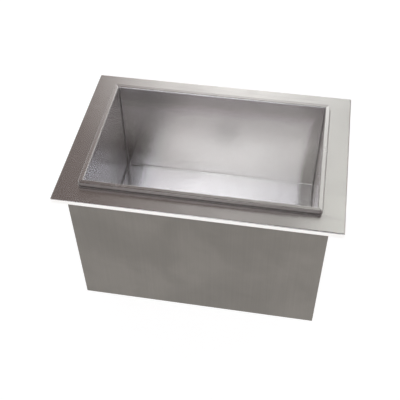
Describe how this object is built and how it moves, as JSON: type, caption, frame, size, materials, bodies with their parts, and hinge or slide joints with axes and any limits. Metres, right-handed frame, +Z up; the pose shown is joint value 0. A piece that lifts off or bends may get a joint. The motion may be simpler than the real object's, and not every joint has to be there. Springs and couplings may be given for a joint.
{
  "type": "drop-in ice bin",
  "caption": "Insulated stainless steel ice bin that drops into a counter cut-out, with a raised rim, floor drain with lift-out strainer and sliding hold-down brackets.",
  "frame": {"origin": "centre of the flange in plan, at the bottom of its turned-down edge, the plane of the counter top", "axes": "+X along the long side to the right, -Y the front seen in the picture, +Z up out of the bin"},
  "size_m": [0.5588, 0.381, 0.3667],
  "materials": {
    "deck_steel": "satin brushed along the bin",
    "liner_steel": "satin brushed",
    "casing_steel": "satin mill finish",
    "drain_steel": "pressed, satin",
    "pipe_steel": "drawn pipe",
    "zinc_steel": "zinc plated",
    "rivet_aluminium": "plain",
    "black_rubber": "matt",
    "gasket_foam": "closed-cell foam tape",
    "insulation_foam": "rigid polyurethane foam",
    "plug_plastic": "moulded"
  },
  "bodies": {
    "bin": {"deck_flange": "deck_steel", "liner_trough": "liner_steel", "liner_end_left": "liner_steel", "liner_end_right": "liner_steel", "shell_wrap": "casing_steel", "shell_back": "casing_steel", "shell_bottom_pan": "casing_steel", "back_rivets": "rivet_aluminium", "pan_rivets": "rivet_aluminium", "foam_insulation": "insulation_foam", "foam_fill_plugs": "plug_plastic", "drain_cup": "drain_steel", "drain_nipple": "pipe_steel", "drain_seal": "black_rubber", "drain_washer": "zinc_steel", "drain_locknut": "zinc_steel", "flange_gasket": "gasket_foam", "bracket_screws": "zinc_steel", "bracket_washers": "zinc_steel", "clinch_nuts": "zinc_steel"},
    "strainer": {"strainer_plate": "drain_steel"},
    "clamp_front_left": {"bracket_front_left": "zinc_steel"},
    "clamp_rear_left": {"bracket_rear_left": "zinc_steel"},
    "clamp_front_right": {"bracket_front_right": "zinc_steel"},
    "clamp_rear_right": {"bracket_rear_right": "zinc_steel"}
  },
  "joints": [
    {"name": "strainer_lift", "type": "slide", "parent": "bin", "child": "strainer", "axis": [0, 0, 1], "range_m": [0, 0.26]},
    {"name": "slide_front_left", "type": "slide", "parent": "bin", "child": "clamp_front_left", "axis": [0, 0, 1], "range_m": [-0.012, 0.012]},
    {"name": "slide_rear_left", "type": "slide", "parent": "bin", "child": "clamp_rear_left", "axis": [0, 0, 1], "range_m": [-0.012, 0.012]},
    {"name": "slide_front_right", "type": "slide", "parent": "bin", "child": "clamp_front_right", "axis": [0, 0, 1], "range_m": [-0.012, 0.012]},
    {"name": "slide_rear_right", "type": "slide", "parent": "bin", "child": "clamp_rear_right", "axis": [0, 0, 1], "range_m": [-0.012, 0.012]}
  ]
}
